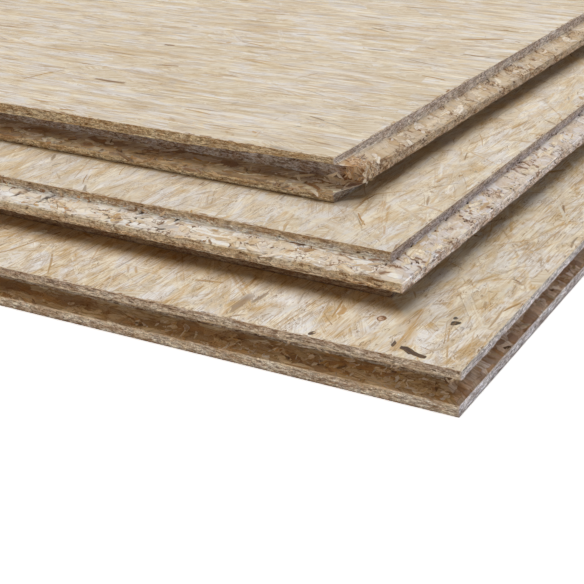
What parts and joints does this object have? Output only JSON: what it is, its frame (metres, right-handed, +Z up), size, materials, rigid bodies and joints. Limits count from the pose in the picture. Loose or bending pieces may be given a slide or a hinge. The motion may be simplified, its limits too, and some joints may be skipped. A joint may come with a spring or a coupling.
{
  "type": "stack of tongue-and-groove osb panels",
  "caption": "Loose stack of oriented strand board floor panels with milled tongues and grooves, lying flat, one corner stepped back panel by panel.",
  "frame": {"origin": "middle of the stack's bounding box, on the underside of the bottom panel", "axes": "+X along the length of the bottom panel, +Y along its width, +Z up; the stepped corner is the one towards -X and -Y"},
  "size_m": [2.1754, 0.78, 0.066],
  "materials": {
    "strand_board": "pressed softwood strands, matt, unsanded, with milled edges of broken strands"
  },
  "bodies": {
    "root": {"bottom_panel": "strand_board", "middle_panel": "strand_board", "top_panel": "strand_board"}
  },
  "joints": []
}
